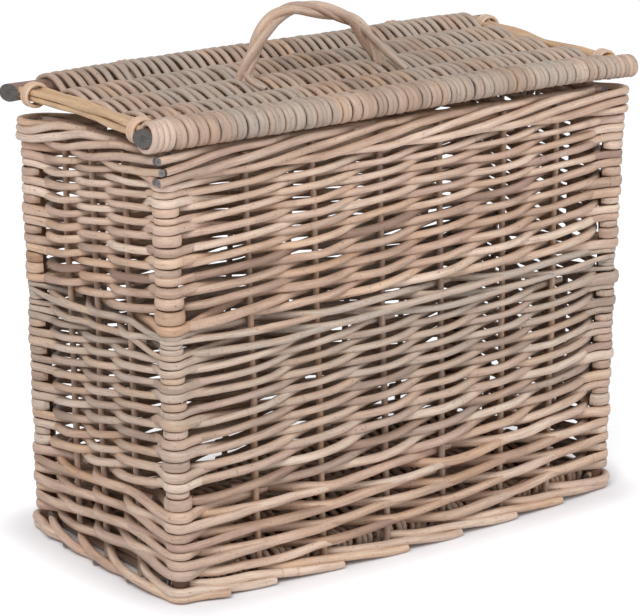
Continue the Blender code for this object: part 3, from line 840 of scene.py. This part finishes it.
class BasketWalls(bpy.types.Operator):
    """The waled and randed rows that go round the corner posts and stakes"""

    bl_idname = "basket.walls"
    bl_label = "Walls"

    def execute(self, context):
        sizes = context.scene.basket_sizes
        dice = random.Random(7)
        spread = np.random.default_rng(11)
        nodes = [f"wall_weave_{wall[0]}" for wall in WALLS]
        total = sum(sum(zone[4]) for zone in ZONES)
        low = WEAVE_LOW
        for number, (name, rows, period, greyness, shares, alone) in enumerate(ZONES):
            high = low + (WEAVE_HIGH - WEAVE_LOW) * sum(shares) / total
            zone = Zone(rows, period, shares, alone, low, high, spread)
            rods = Rods(100 + number)
            if period == RAND:
                for start in range(ROUND):
                    lay_climbing_rod(rods, zone, start, sizes, greyness, dice)
            else:
                for row in range(rows):
                    lay_row(rods, zone, row, sizes, greyness, dice)
            for index, turns in zone.turns.items():
                for height, size in turns:
                    lay_turn(rods, index, height, size, sizes, greyness, dice)
            rods.make(name, Finishes.get("willow"), "basket", nodes)
            low = high
        return {"FINISHED"}


class BasketUprights(bpy.types.Operator):
    """Stakes of the walls, and the bark of the four corner posts"""

    bl_idname = "basket.uprights"
    bl_label = "Uprights"

    def execute(self, context):
        rods = Rods(200, spacing=0.01)
        nodes = []
        for wall, _, stakes, _ in WALLS:
            nodes += [f"stake_{wall}_{number + 1}" for number in range(stakes)]
        for index, upright in enumerate(UPRIGHTS):
            if upright.before:
                continue
            foot = upright.at(upright.foot.z)
            top = upright.at(min(upright.top.z, border_top(index) - STAKE_SUNK))
            controls = []
            for share in (0, 0.3, 0.7, 1):
                controls.append((*foot.lerp(top, share), upright.radius * (1.04 - 0.12 * share)))
            rods.lay(controls, tone=rods.random.uniform(0.2, 0.6), grey=0.25)
        rods.make("wall_stakes", Finishes.get("willow"), "basket", nodes)
        posts = Rods(210, spacing=0.012, sides=24)
        for index, upright in enumerate(UPRIGHTS):
            if upright.before:
                foot = upright.at(upright.foot.z)
                top = upright.at(min(upright.top.z, border_top(index) - POST_SUNK))
                line = [(*foot, upright.radius), (*top, upright.radius)]
                posts.lay(line, tone=posts.random.uniform(0.3, 0.7))
        names = [wall[1] for wall in WALLS]
        posts.make("corner_posts", Finishes.get("bark"), "basket", names)
        return {"FINISHED"}


class BasketBorders(bpy.types.Operator):
    """The bundled top border and the paired rods of the foot border"""

    bl_idname = "basket.borders"
    bl_label = "Borders"

    def execute(self, context):
        sizes = context.scene.basket_sizes
        self.top_border(sizes.border_radius)
        self.foot_border(sizes.foot_radius)
        return {"FINISHED"}

    def top_border(self, size):
        """Rods that rise outside three uprights and end on top, others that rise inside, and a dark
        rod along the inside of each wall. At the near corner the outer ones are cut off, not bent.
        """
        rods = Rods(300)
        dice = random.Random(31)
        for start in range(ROUND):
            radius = size * dice.uniform(0.92, 1.08)
            base = WEAVE_HIGH + radius
            inner = between(start, 0.06, base - 0.002, radius, -0.006)
            runs = [[inner, between(start, 0.5, base, radius, 0.002)]]
            for turn in (1, 2, 3):
                height = base + (border_top(start + turn) - radius - base) * (turn - 1) / 2
                upright = UPRIGHTS[(start + turn) % ROUND]
                if (start + turn) % ROUND:
                    depth = 0.5 if turn == 3 and not upright.before else 1
                    runs[-1] += passing(start + turn, height, radius, depth)
                    continue
                reach = upright.radius + GAP + radius
                past = CUT_ENDS[turn % 2]
                last_past = past[0] + dice.uniform(-0.001, 0.0005)
                first_past = past[1] + dice.uniform(-0.001, 0.001)
                last = upright.at(height) + upright.before * reach + upright.out * last_past
                first = upright.at(height) + upright.out * reach + upright.before * first_past
                runs[-1].append((*last, radius, 0.0))
                runs.append([(*first, radius, 0.0)])
            high = min(border_top(start + 3), border_top(start + 4))
            runs[-1].append(between(start + 3, 0.45, high - radius, radius * 0.95, -0.001))
            runs[-1].append(between(start + 3, 0.85, high - radius * 0.9, radius * 0.9, -0.009))
            for run in runs:
                rods.lay(run, tone=dice.uniform(0.4, 0.85), grey=dice.uniform(0, 0.3))
        for start in range(ROUND):
            radius = size * dice.uniform(0.9, 1.05)
            controls = []
            for turn in (0, 1, 2):
                room = border_top(start + turn) - WEAVE_HIGH - 2 * radius
                height = WEAVE_HIGH + radius + room * turn / 2
                controls += passing(start + turn, height, radius, -1)
            rods.lay(controls, tone=dice.uniform(0.3, 0.7), grey=dice.uniform(0, 0.3))
        for wall, corner in zip(WALLS, CORNERS):
            heights = [border_top(corner + i) - size for i in range(wall[2] + 2)]
            controls = [between(corner, 0.06, heights[0], size, -0.0055)]
            for i in range(1, wall[2] + 1):
                controls += passing(corner + i, heights[i], size, -1)
            controls.append(between(corner + wall[2], 0.94, heights[-1], size, -0.0055))
            rods.lay(controls, tone=0.2, grey=0.1)
        nodes = [f"top_border_{wall[0]}" for wall in WALLS]
        rods.make("top_border", Finishes.get("willow"), "basket", nodes)

    def foot_border(self, size):
        """Each rod comes out beside an upright, runs down along the floor edge and ends past the
        second upright on. Behind them two rods of the darkest tone lie at each short side, as painted
        shade.
        """
        rods = Rods(320)
        dice = random.Random(33)
        for start in range(ROUND):
            radius = size * dice.uniform(0.95, 1.06)
            high, middle, low = (FOOT_LOW + radius * rise for rise in FOOT_RISES)
            controls = [between(start, -0.06, high, radius * 0.85, -0.010)]
            controls.append(between(start, 0.07, high, radius, -0.0005))
            controls.append(between(start, 0.25, high - 0.2 * (high - middle), radius, 0.0045))
            out = FOOT_OUT_LEFT if UPRIGHTS[(start + 1) % ROUND].out.x < 0 else 0.0
            controls += passing(start + 1, middle, radius, 1.4 + 250 * out)
            controls.append(between(start + 1, 0.5, low + 0.45 * (middle - low), radius, 0.0098 + out))
            controls += passing(start + 2, low, radius * 0.92, 1.9)
            at_post = UPRIGHTS[(start + 2) % ROUND].before
            tip = dice.uniform(0.35, 0.5) if at_post else dice.uniform(0.08, 0.2)
            controls.append(between(start + 2, tip, low, radius * 0.8, 0.0112 + out))
            rods.lay(controls, tone=dice.uniform(0.4, 0.8), grey=dice.uniform(0, 0.25))
        # The two rods at each short side get the darkest tone: painted shade under the basket's ends
        for corner in (CORNERS[1], CORNERS[3]):
            for height, radius in PAINTED_SHADE_FOOT_RODS:
                spots = [(corner + i, share) for i in range(4) for share in (0.15, 0.85)]
                controls = [between(*spot, height, radius, -0.006) for spot in spots]
                rods.lay(controls, tone=0.05, grey=0.1)
        nodes = [f"foot_border_{wall[0]}" for wall in WALLS]
        rods.make("foot_border", Finishes.get("willow"), "basket", nodes)


# Mats


class Mat:
    """Two sticks and the ribs between them, woven across with one flat strand."""

    def __init__(self, front, back, ribs, half_length, warp, bow=None):
        self.front, self.back = front, back
        self.ribs = ribs
        self.half_length = half_length
        self.warp = warp
        self.bow = bow or (lambda x, y: y)

    def lay(self, rods, strand, flat, pitch, wrap_pitch, dice, tints):
        """Passes towards the front go over the back stick, under the third rib, over the second,
        under the first and over the front stick, and passes back go the other way. The front
        stick gets more turns than there are pairs of passes, so some pairs turn round it twice.
        The strand is made of several rods, each of which does for two to four pairs.
        """
        _, height, _ = self.front
        count = int(2 * self.half_length / pitch) // 2 * 2
        places = [-self.half_length + 2 * self.half_length * (i + 0.5) / count for i in range(count)]
        pairs = count // 2
        faces = max(round(2 * self.half_length / wrap_pitch), pairs)
        spare = faces - pairs
        doubles = [i * spare // pairs != (i + 1) * spare // pairs for i in range(pairs)]
        step = 2 * self.half_length / faces
        x_face = -self.half_length + step / 2
        thick = strand * (1 - NARROWING * flat)
        controls = []
        tone = dice.uniform(0.35, 0.65)
        grey = dice.uniform(0.1, 0.7)
        left = dice.randint(2, 4)

        def control(x, y, z, radius=strand):
            return (x, self.bow(x, y), z + self.warp(x, y), radius, flat)

        def turn_point(stick, inward, angle, x):
            y, z, radii = stick
            share = (x + self.half_length) / (2 * self.half_length)
            reach = radii[0] + (radii[1] - radii[0]) * share + GAP + thick
            return control(x, y + inward * reach * math.cos(angle), z + reach * math.sin(angle))

        for pair in range(pairs):
            towards, away = places[2 * pair], places[2 * pair + 1]
            size = strand * dice.uniform(0.9, 1.1)
            for number, (y, radius) in reversed(list(enumerate(self.ribs))):
                over = -1 if number % 2 == 0 else 1
                x = towards + dice.gauss(0, 0.0008)
                controls.append(control(x, y, height + over * (radius + GAP + thick), size))
            turns = 2 if doubles[pair] else 1
            steps = 6
            spin = math.pi + 2 * math.pi * (turns - 1)
            total = steps + 2 * steps * (turns - 1)
            start_x = x_face - step / 2 + dice.gauss(0, 0.0002)
            end_x = x_face + step * (turns - 0.5)
            for index in range(total + 1):
                angle = math.pi / 2 + spin * index / total
                x = start_x + (end_x - start_x) * index / total
                controls.append(turn_point(self.front, 1, angle, x))
            x_face += step * turns
            for number, (y, radius) in enumerate(self.ribs):
                over = 1 if number % 2 == 0 else -1
                x = away + dice.gauss(0, 0.0008)
                controls.append(control(x, y, height + over * (radius + GAP + thick), size))
            following = places[2 * pair + 2] if pair < pairs - 1 else away
            left -= 1
            for index in range(5):
                angle = -math.pi / 2 - math.pi * index / 4
                controls.append(turn_point(self.back, -1, angle, away + (following - away) * index / 4))
                if index == 0 and left == 0:
                    rods.lay(controls, tone=tone, grey=grey, wander=0.00015)
                    controls = controls[-1:]
                    tone = dice.uniform(*tints[0])
                    grey = dice.uniform(*tints[1])
                    left = dice.randint(2, 4)
        rods.lay(controls, tone=tone, grey=grey, wander=0.00015)


def stick_of(node, radii):
    low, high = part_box(node)
    return ((low.y + high.y) / 2, (low.z + high.z) / 2, radii)


LID_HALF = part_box("lid_front_stick")[1].x

# Radii of the lid's sticks at their left and right ends, and of the other rods of the mats
LID_FRONT_RADII, LID_BACK_RADII = (0.0066, 0.0046), (0.0062, 0.0052)
LID_RIB_RADIUS = 0.0030
BASE_STICK_RADII, BASE_RIB_RADIUS = (0.005, 0.005), 0.003

# The coils at the ends of the lid's front stick, and the points of each
COILS, COIL_POINTS = 4, 10

# The rods across the lid's ends: their radius, how far apart they lie along and above each other,
# and how far they draw in in the middle
END_ROD_RADIUS = 0.0025
END_LANE, END_LEVEL = 0.0046, 0.0052
END_PINCH = 0.004

# A binding round them: its radius, how far it reaches along and up, its width and its turns
BINDING_RADIUS = 0.0014
BINDING_REACH = (0.0082, 0.0078)
BINDING_WIDTH = 0.0085
BINDING_TURNS, BINDING_POINTS = 3, 12

# How far in from the ends of the lid's sticks the bundles across them lie
END_INSET = 0.0115

# The left ends of the lid's sticks are cut aslant, so they face a little forward
LID_END_SLANT = -0.6

# How far the lid's front and back lie above their level, from its left end to its right end
LID_STATIONS = (-1, -0.75, -0.5, -0.25, 0, 0.25, 0.5, 0.75, 1)
LID_RISE_FRONT = (0.0010, 0.0008, 0.0008, 0.0012, 0.0020, 0.0030, 0.0038, 0.0036, 0.0022)
LID_RISE_BACK = (0.0030, 0.0050, 0.0066, 0.0078, 0.0084, 0.0090, 0.0106, 0.0118, 0.0118)


def lid_warp(x, y):
    """The lid's rise above its level: it lies loose, its back is crowned and one end has lifted."""
    front, back = stick_of("lid_front_stick", 0)[0], stick_of("lid_back_stick", 0)[0]
    across = min(max((y - front) / (back - front), 0), 1)
    rise = [np.interp(x / LID_HALF, LID_STATIONS, row) for row in (LID_RISE_FRONT, LID_RISE_BACK)]
    return rise[0] + (rise[1] - rise[0]) * across


# The share by which the base is deeper in its middle than at its ends
BASE_BOW = 0.12


def base_bow(x, y):
    """The base fills the foot, so its long sides bow out with the walls."""
    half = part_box("base_weave")[1].x
    return y * (1 + BASE_BOW * max(1 - (x / half) ** 2, 0))


class BasketBase(bpy.types.Operator):
    """The base mat"""

    bl_idname = "basket.base"
    bl_label = "Base"

    def execute(self, context):
        dice = random.Random(41)
        low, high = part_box("base_front_stick")
        front = stick_of("base_front_stick", BASE_STICK_RADII)
        back = stick_of("base_back_stick", BASE_STICK_RADII)
        ribs = []
        for number in (1, 2, 3):
            y, _, _ = stick_of(f"base_rib_{number}", 0)
            ribs.append((y, BASE_RIB_RADIUS))
        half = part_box("base_weave")[1].x
        mat = Mat(front, back, ribs, half - 0.002, lambda x, y: 0, base_bow)
        rods = Rods(400, spacing=0.0025, wide_axis=(1.0, 0, 0))
        mat.lay(rods, 0.0020, 0.12, 0.0048, 0.0062, dice, ((0.5, 0.85), (0.0, 0.2)))
        rods.make("base_strand", Finishes.get("willow"), "basket", ["base_weave"])
        sticks = Rods(410, spacing=0.01, sides=12)
        for y, height, radii in (front, back):
            line = [(x, base_bow(x, y), height, radii[0]) for x in np.linspace(low.x, high.x, 12)]
            sticks.lay(line, tone=0.4)
        for number, (y, radius) in enumerate(ribs):
            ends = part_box(f"base_rib_{number + 1}")
            line = [(x, base_bow(x, y), front[1], radius) for x in np.linspace(ends[0].x, ends[1].x, 12)]
            sticks.lay(line, tone=0.4)
        nodes = ["base_front_stick", "base_back_stick", "base_rib_1", "base_rib_2", "base_rib_3"]
        sticks.make("base_sticks", Finishes.get("bark"), "basket", nodes)
        return {"FINISHED"}


class BasketLid(bpy.types.Operator):
    """The lid's mat, its sticks and ribs, and the bundles at its ends"""

    bl_idname = "basket.lid"
    bl_label = "Lid"

    def execute(self, context):
        sizes = context.scene.basket_sizes
        dice = random.Random(51)
        front = stick_of("lid_front_stick", LID_FRONT_RADII)
        back = stick_of("lid_back_stick", LID_BACK_RADII)
        ribs = []
        for number in (1, 2, 3):
            y, _, _ = stick_of(f"lid_rib_{number}", 0)
            ribs.append((y, LID_RIB_RADIUS))
        half = LID_HALF - 0.020
        mat = Mat(front, back, ribs, half, lid_warp)
        rods = Rods(500, spacing=0.0025, wide_axis=(1.0, 0, 0))
        mat.lay(
            rods,
            sizes.strand_radius,
            sizes.strand_flat,
            sizes.strand_pitch,
            sizes.wrap_pitch,
            dice,
            ((0.1, 0.5), (0.3, 1.0)),
        )
        self.end_coils(rods, front, half, sizes, dice)
        rods.make("lid_strand", Finishes.get("willow"), "lid", ["lid_weave"])
        self.sticks(front, back, ribs)
        self.ends(front, back)
        return {"FINISHED"}

    def end_coils(self, rods, front, half, sizes, dice):
        """The strand's last turns, which cover the front stick's ends without passing the ribs."""
        y, height, radii = front
        last = COILS * COIL_POINTS
        for side in (-1, 1):
            reach = (radii[0] if side < 0 else radii[1]) + GAP + sizes.strand_radius
            controls = []
            for index in range(last + 1):
                angle = 2 * math.pi * index / COIL_POINTS
                x = side * (half + 0.001 + (LID_HALF - half - 0.003) * index / last)
                z = height + reach * math.sin(angle) + lid_warp(x, y)
                place = (x, y + reach * math.cos(angle), z)
                controls.append((*place, sizes.strand_radius, sizes.strand_flat))
            rods.lay(controls, tone=dice.uniform(0.4, 0.7), grey=0.3, wander=0.0001)

    def sticks(self, front, back, ribs):
        sticks = Rods(510, spacing=0.008, sides=20)
        for y, height, radii in (front, back):
            controls = []
            for share in np.linspace(0, 1, 12):
                x = LID_HALF * (2 * share - 1)
                controls.append((x, y, height + lid_warp(x, y), radii[0] + (radii[1] - radii[0]) * share))
            sticks.lay(controls, tone=0.6, grey=0.1, cut=LID_END_SLANT)
        nodes = ["lid_front_stick", "lid_back_stick"]
        sticks.make("lid_sticks", Finishes.get("bark"), "lid", nodes)
        rods = Rods(520, spacing=0.006)
        for number, (y, radius) in enumerate(ribs):
            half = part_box(f"lid_rib_{number + 1}")[1].x
            controls = [(x, y, front[1] + lid_warp(x, y), radius) for x in np.linspace(-half, half, 12)]
            rods.lay(controls, tone=0.5, grey=0.3)
        nodes = ["lid_rib_1", "lid_rib_2", "lid_rib_3"]
        rods.make("lid_ribs", Finishes.get("willow"), "lid", nodes)

    def ends(self, front, back):
        """Six rods bundled across each short side, pinched in the middle, and their bindings."""
        dice = random.Random(53)
        for name, side in (("left", -1), ("right", 1)):
            rods = Rods(530 + side)
            start, end = front[0] + 0.004, back[0] - 0.001
            spots = {place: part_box(f"lid_binding_{place}_{name}") for place in ("front", "back")}
            for number in range(6):
                lane, level = (number % 3 - 1) * END_LANE, (number // 3 - 0.5) * END_LEVEL
                swap = dice.uniform(-0.0016, 0.0016)
                controls = []
                for share in (0, 0.16, 0.33, 0.5, 0.67, 0.84, 1):
                    y = start + (end - start) * share
                    pinch = math.sin(math.pi * share)
                    x = side * (LID_HALF - END_INSET - END_PINCH * pinch)
                    x += lane * (1 - 0.35 * pinch) + swap * (2 * share - 1)
                    z = front[1] + level * (1 - 0.1 * pinch) + lid_warp(x, y) + dice.gauss(0, 0.0003)
                    x += dice.gauss(0, 0.0005)
                    controls.append((x, y, z, END_ROD_RADIUS * dice.uniform(0.94, 1.06)))
                rods.lay(controls, tone=dice.uniform(0.65, 0.95), grey=0.0)
            nodes = [f"lid_end_{name}"]
            rods.make(f"lid_end_rods_{name}", Finishes.get("yellow"), "lid", nodes)
            for place, (low, high) in spots.items():
                binding = Rods(540 + side)
                middle = (low.y + high.y) / 2
                centre = side * (LID_HALF - END_INSET)
                controls = []
                last = BINDING_TURNS * BINDING_POINTS
                for index in range(last + 1):
                    angle = 2 * math.pi * index / BINDING_POINTS
                    y = middle + (index / last - 0.5) * BINDING_WIDTH
                    x = centre + BINDING_REACH[0] * math.cos(angle)
                    z = front[1] + BINDING_REACH[1] * math.sin(angle) + lid_warp(centre, y)
                    controls.append((x, y, z, BINDING_RADIUS))
                binding.lay(controls, tone=0.8, grey=0.05, wander=0.0001)
                nodes = [f"lid_binding_{place}_{name}"]
                binding.make(f"binding_{place}_{name}", Finishes.get("willow"), "lid", nodes)


# The rope handle's middle line in x and z, from its left foot to its right one, and where in its
# turn the rope starts
HANDLE_LINE = (
    (-0.0790, 0.3290),
    (-0.0770, 0.3374),
    (-0.0730, 0.3485),
    (-0.0680, 0.3580),
    (-0.0610, 0.3680),
    (-0.0525, 0.3758),
    (-0.0420, 0.3798),
    (-0.0200, 0.3800),
    (0.0000, 0.3755),
    (0.0210, 0.3668),
    (0.0318, 0.3535),
    (0.0402, 0.3400),
    (0.0445, 0.3315),
)
HANDLE_START = 0.1

# The rope's strands: radius and distance from the middle line, both as shares of a strand's
# radius, where in its turn each starts, and its tone
ROPE_STRANDS = ((1.0, 0.74, 0.0, 0.5), (0.97, 0.78, 0.5, 0.6), (0.6, 1.0, 0.25, 0.42))

# The two ends of the rope that run out over the lid towards its front, as x, y, z and radius
ROPE_TAILS = (
    (
        (-0.0785, -0.002, 0.3400, 0.0022),
        (-0.0780, -0.010, 0.3362, 0.0026),
        (-0.0765, -0.025, 0.3325, 0.0016),
    ),
    (
        (0.0225, -0.002, 0.3650, 0.0022),
        (0.0320, -0.008, 0.3545, 0.0028),
        (0.0400, -0.015, 0.3440, 0.0028),
        (0.0455, -0.021, 0.3375, 0.0025),
        (0.0480, -0.027, 0.3335, 0.0018),
    ),
)


class BasketHandle(bpy.types.Operator):
    """The rope handle of twisted willow, with two ends of the rope that run out over the lid"""

    bl_idname = "basket.handle"
    bl_label = "Handle"

    def execute(self, context):
        sizes = context.scene.basket_sizes
        rods = Rods(600, sides=10)
        line = smooth([(x, 0, z, 0) for x, z in HANDLE_LINE], 0.002)[:, :3]
        travel = np.r_[0, np.cumsum(np.linalg.norm(np.diff(line, axis=0), axis=1))]
        tangents = unit(np.gradient(line, axis=0))
        across = np.tile((0, 1.0, 0), (len(line), 1))
        upward = np.cross(tangents, across)
        for radius, share, start, tone in ROPE_STRANDS:
            phase = 2 * math.pi * (travel / sizes.rope_lay + start + HANDLE_START)
            offset = across * np.cos(phase)[:, None] + upward * np.sin(phase)[:, None]
            route = line + offset * sizes.rope_radius * share
            controls = [(*place, sizes.rope_radius * radius) for place in route[::2]]
            rods.lay(controls, tone=tone, grey=0.3, wander=0.0002)
        for tail in ROPE_TAILS:
            rods.lay(tail, tone=0.35, grey=0.6, wander=0.0002)
        rods.make("rope_handle", Finishes.get("willow"), "lid", ["lid_handle"])
        return {"FINISHED"}


class BasketHinges(bpy.types.Operator):
    """The two willow loops that hold the lid's back stick, each two turns round it and the border"""

    bl_idname = "basket.hinges"
    bl_label = "Hinge loops"

    def execute(self, context):
        stick_y, stick_z, _ = stick_of("lid_back_stick", 0)
        for name in ("left", "right"):
            node = f"hinge_loop_{name}"
            low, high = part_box(node)
            x = (low.x + high.x) / 2
            radius = (high.x - low.x) / 2
            rise = lid_warp(x, stick_y)
            rods = Rods(700)
            controls = []
            for turn in range(2):
                shift = (turn - 0.5) * 2.1 * radius
                reach = LID_BACK_RADII[0] + GAP + radius
                controls += [
                    (x + shift, stick_y + reach * math.cos(a), stick_z + rise + reach * math.sin(a), radius)
                    for a in np.linspace(0, math.pi, 7)
                ]
                controls += [
                    (x + shift, low.y + radius, stick_z - 0.012, radius),
                    (x + shift, low.y + radius + 0.001, low.z + radius + 0.004, radius),
                    (x + shift, (low.y + high.y) / 2, low.z + radius, radius),
                    (x + shift, high.y - radius - 0.001, low.z + radius + 0.004, radius),
                    (x + shift, high.y - radius, stick_z - 0.012, radius),
                ]
            rods.lay(controls, tone=0.6, grey=0.1, wander=0.0001)
            rods.make(f"willow_hinge_{name}", Finishes.get("willow"), "basket", [node])
        return {"FINISHED"}


OPERATORS = (
    BasketStage,
    BasketWalls,
    BasketUprights,
    BasketBorders,
    BasketBase,
    BasketLid,
    BasketHandle,
    BasketHinges,
)


class BasketPanel(bpy.types.Panel):
    """Sizes, colours and pieces of the basket"""

    bl_idname = "VIEW3D_PT_basket"
    bl_label = "Lidded Wicker Basket"
    bl_space_type = "VIEW_3D"
    bl_region_type = "UI"
    bl_category = "Basket"

    def draw(self, context):
        layout = self.layout
        scene = context.scene
        for group in (scene.basket_sizes, scene.basket_colours, scene.basket_studio):
            column = layout.column(align=True)
            for name in group.bl_rna.properties.keys():
                if name not in ("rna_type", "name"):
                    column.prop(group, name)
        for operator in OPERATORS:
            layout.operator(operator.bl_idname)


CLASSES = (BasketSizes, BasketColours, StudioSizes, *OPERATORS, BasketPanel)


def register():
    for cls in CLASSES:
        bpy.utils.register_class(cls)
    bpy.types.Scene.basket_sizes = PointerProperty(type=BasketSizes)
    bpy.types.Scene.basket_colours = PointerProperty(type=BasketColours)
    bpy.types.Scene.basket_studio = PointerProperty(type=StudioSizes)


def unregister():
    del bpy.types.Scene.basket_studio
    del bpy.types.Scene.basket_colours
    del bpy.types.Scene.basket_sizes
    for cls in reversed(CLASSES):
        bpy.utils.unregister_class(cls)


def main():
    register()
    for operator in OPERATORS:
        group, name = operator.bl_idname.split(".")
        getattr(getattr(bpy.ops, group), name)()


if __name__ == "__main__":
    main()
